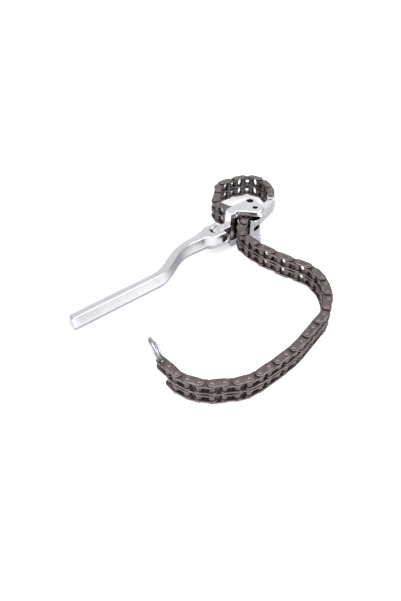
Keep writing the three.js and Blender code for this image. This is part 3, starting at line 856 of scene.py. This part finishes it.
def lug_shapes(frame):
    """Lug that holds the last chain pin: shapes to join, shapes to cut."""
    _, pin, along, side, up = frame

    def lug_point(p):
        return tuple(pin + p[0] * along + p[1] * side + p[2] * up)

    eye = [(4.0 * math.cos(rad(a)), 4.0 * math.sin(rad(a))) for a in range(270, 89, -12)]
    eye += [(9.6, 4.2), (9.6, -4.2)]
    lower_eye = [(min(x, 3.4) * 0.82, y * 0.78) for x, y in eye]
    joins = [extrude(eye, CHAIN_MID - 1, INNER_TOP), extrude(lower_eye, INNER_LOW, CHAIN_MID)]
    # room for the outer plates, for the middle plate and for the pin
    cuts = [cylinder(OUTER_R + 0.5, z0, z1, 36)
            for z0, z1 in ((INNER_TOP, INNER_TOP + 6), (INNER_LOW - 6, INNER_LOW))]
    cuts.append(extrude([(-6, -6), (5.2, -6), (5.2, 6), (-6, 6)],
                        2 * CHAIN_MID - BETWEEN_TOP, BETWEEN_TOP))
    cuts.append(cylinder(1.9, -40, 10, 24))
    return [moved(s, lug_point) for s in joins], [moved(s, lug_point) for s in cuts]


def wall_cut(points, y1=194.6):
    """Cutter with an (x, z) outline, running along Y through the wall."""
    return moved(extrude(points, 180.0, y1), lambda p: (p[0], p[2], p[1]))


def wall_openings():
    """Half-moon under the upper cheek, a step cut above it, and a slanted window."""
    moon = [(76.9 - 6.0 * math.cos(math.pi * i / 24),
             CHEEK_TOP_UNDER - 4.6 * math.sin(math.pi * i / 24)) for i in range(25)]
    step = [(70.9, 185.0), (82.4, 185.0), (82.4, 190.9), (80.1, 190.6), (70.9, 192.2)]
    window = [(77.9, -17.0), (82.6, -12.3), (82.6, -7.8), (77.9, -12.6)]
    return [wall_cut(moon, y1=203.0), crisp_slab(step, CHEEK_TOP_UNDER - 0.6, 1.6),
            wall_cut(rounded(window, (0.8,) * 4))]


def build_head(lug_frame):
    head = solid(moved(tongue(), in_row_mm), "v_wrench_head")     # metres at the end

    def join(*shapes):
        for shape in shapes:
            combine(head, moved(shape, in_row_mm), "UNION")

    def cut(*shapes):
        for shape in shapes:
            combine(head, moved(shape, in_row_mm))

    join(neck(),
         slab(UPPER_CHEEK, CHEEK_TOP_UNDER, CHEEK_TOP, 0.2, 1.1),
         slab(LOWER_CHEEK, CHEEK_LOW, CHEEK_LOW_OVER, 1.1, 0.2),
         crisp_slab(WEB, CHEEK_LOW_OVER - 0.5, CHEEK_TOP_UNDER + 0.5),
         arm())
    lug_joins, lug_cuts = lug_shapes(lug_frame)
    join(*lug_joins)
    cut(*lug_cuts)
    # wall between the cheeks on the near side (-Y)
    wall = [(WALL_X, WALL_Y), (84.0, WALL_Y), (84.0, 193.4), (WALL_X, 193.4)]
    join(slab(wall, CHEEK_LOW + 1, CHEEK_TOP_UNDER + 0.5, 0.2),
         slab(SHOULDER, -7.0, 2.4, 0.3, 0.6))
    cut(*wall_openings())

    # soften the whole forging
    remesh = head.modifiers.new("vox", "REMESH")
    remesh.mode = "VOXEL"
    remesh.voxel_size = 0.32
    remesh.use_smooth_shade = True
    relax = head.modifiers.new("sm", "SMOOTH")
    relax.factor = 0.5
    relax.iterations = 9
    bake(head)

    # bores stay crisp, with a small countersink
    for _, centre, r, _ in CROSS_PINS:
        cut(lathe([(r + 0.45, CHEEK_LOW - 0.4), (r, CHEEK_LOW + 0.4), (r, CHEEK_TOP - 0.4),
                   (r + 0.45, CHEEK_TOP + 0.4)], 48, centre))
    cut(pivot_bore())
    head.data.transform(Matrix.Scale(MM, 4))
    head.data.materials.clear()
    head.data.materials.append(head_mat)
    smooth(head.data, 48)
    register(head, "head", "wrench_head")


def build_cross_pins():
    """Pins with a hollow in each end."""
    low, top = CHEEK_LOW + 0.45, CHEEK_TOP - 0.45
    for node_name, centre, _, r in CROSS_PINS:
        half = [(0.1, 2.6), (r - 0.9, 2.6), (r - 0.14, 2.0), (r - 0.14, 0), (r, 0)]
        profile = [(k, low + dz) for k, dz in half] + [(k, top - dz) for k, dz in half[::-1]]
        build_pin(node_name, lathe(profile, 40, centre))


build_head(frames[-1])
build_cross_pins()

# ------------------------------------------------------------------ split ring
RING_R = 9.6
RING_HOLE = np.array([*CHAIN_START, INNER_TOP - INNER_T / 2])
RING_OUT = unit(np.array([-0.31385, 0.94814, 0.05019]))
RING_UP = np.array([-0.32735, -0.15768, 0.93165])       # made square to RING_OUT below
RING_DROP = rad(35)     # angle from RING_OUT to the line from the hole to the centre
WIRE_START = rad(35)
WIRE_TURN = 1.86 * 2 * math.pi
WIRE_STEPS = 190
WIRE_SIDES = 16
WIRE_RADIAL, WIRE_AXIAL = 1.0, 0.80     # half sizes of the wire
COIL_LIFT = 0.86        # offset of each coil from the ring's mid plane


def rounded_wave(value):
    """Sine or cosine flattened towards a square wave, for a soft-cornered section."""
    return math.copysign(abs(value) ** 0.6, value)


def build_ring():
    up = unit(RING_UP - RING_UP.dot(RING_OUT) * RING_OUT)
    axis = np.cross(RING_OUT, up)
    centre = (RING_HOLE + RING_OUT * RING_R * math.cos(RING_DROP)
              + up * RING_R * math.sin(RING_DROP))
    rings = []
    for i in range(WIRE_STEPS + 1):
        t = i / WIRE_STEPS
        a = WIRE_START + WIRE_TURN * t
        lift = COIL_LIFT * math.tanh((t - 0.5) * 12)    # steps from one coil to the other
        outward = RING_OUT * math.cos(a) + up * math.sin(a)
        taper = min(1.0, 0.55 + 14 * min(t, 1 - t))
        section = []
        for j in range(WIRE_SIDES):
            b = 2 * math.pi * j / WIRE_SIDES
            radial = rounded_wave(math.cos(b)) * WIRE_RADIAL * taper
            axial = rounded_wave(math.sin(b)) * WIRE_AXIAL * taper
            section.append(centre + outward * (RING_R + radial) + axis * (lift + axial))
        rings.append(section)
    mesh = new_mesh("v_pull_ring", moved(skin(rings), in_row), angle=50, materials=(ring_mat,))
    register(add_object(mesh), "pull_ring", "pull_ring")


build_ring()

# ------------------------------------------------------------------ floor
FLOOR_HALF = 6.0        # metres
FLOOR_Z = -0.0004


def floor_material():
    """Pale floor, darker in reflections, with a glow seen by camera and glossy rays."""
    material, tree, shader = new_material("floor")
    position = node(tree, "TexCoord").outputs["Object"]
    pale = ramp(tree, noise(tree, position, 3.0, detail=3.0),
                [(0.3, (0.83, 0.83, 0.83)), (0.7, (0.87, 0.87, 0.87))])
    rays = node(tree, "LightPath").outputs
    glossy = rays["Is Glossy Ray"]
    seen = calc(tree, "ADD", rays["Is Camera Ray"], glossy)
    feed(tree, shader, {
        "Base Color": mix(tree, glossy, pale, (0.47, 0.47, 0.485, 1)),
        "Emission Color": (1.0, 1.0, 1.0, 1),
        "Emission Strength": calc(tree, "MULTIPLY", seen, 0.32),
        "Roughness": 0.9,
        "Specular IOR Level": 0.1})
    return material


def build_floor():
    s = FLOOR_HALF
    corners = [(-s, -s, 0), (s, -s, 0), (s, s, 0), (-s, s, 0)]
    floor = add_object(new_mesh("floor", (corners, [(0, 1, 2, 3)]),
                                materials=(floor_material(),)))
    floor.location.z = FLOOR_Z


build_floor()


# ------------------------------------------------------------------ world, lights, camera
def build_world():
    """Grey room, bright at the horizon and dim overhead."""
    world = bpy.data.worlds.new("studio")
    bpy.context.scene.world = world
    world.use_nodes = True
    tree = world.node_tree
    tree.nodes.clear()
    output = node(tree, "OutputWorld")
    direction = node(tree, "TexCoord").outputs["Generated"]
    height = node(tree, "SeparateXYZ", {0: direction}).outputs[2]
    levels = ((0.0, 1.0), (0.40, 0.95), (0.76, 0.80), (1.0, 0.28))      # height, brightness
    sky = ramp(tree, height, [(z, (c, c, c * 1.02)) for z, c in levels])
    background = node(tree, "Background", {0: sky, "Strength": 0.92})
    tree.links.new(background.outputs[0], output.inputs[0])


def area(name, location, size, energy, target=(0, 0, 0.02)):
    """Square area light, aimed at target; metres and watts."""
    light = bpy.data.lights.new(name, "AREA")
    light.energy = energy
    light.size = size
    obj = bpy.data.objects.new(name, light)
    bpy.context.scene.collection.objects.link(obj)
    obj.location = location
    aim = Vector(target) - Vector(location)
    obj.rotation_euler = aim.to_track_quat("-Z", "Y").to_euler()


def build_camera():
    camera = bpy.data.cameras.new("camera")
    obj = bpy.data.objects.new("camera", camera)
    bpy.context.scene.collection.objects.link(obj)
    obj.location = tuple(in_row((23.63, -282.77, 338.69)))
    obj.rotation_euler = (rad(90 - 43.76), 0, 0)        # looks down by 43.76 degrees
    camera.sensor_width = 36.0
    camera.sensor_fit = "AUTO"
    camera.lens = 34.58
    camera.clip_start = 0.01
    bpy.context.scene.camera = obj


build_world()
area("key", (-0.55, -0.35, 0.95), size=0.7, energy=10.5)
area("fill", (0.75, -0.45, 0.75), size=0.8, energy=7.0)
area("card", (0.0, -0.95, 0.90), size=0.9, energy=3.6)
area("side", (0.98, -0.46, 0.30), size=0.8, energy=2.8)
area("top", (0.05, -0.08, 1.2), size=1.2, energy=3.0, target=(0, 0, 0))
build_camera()
bpy.context.scene.view_settings.view_transform = "Standard"
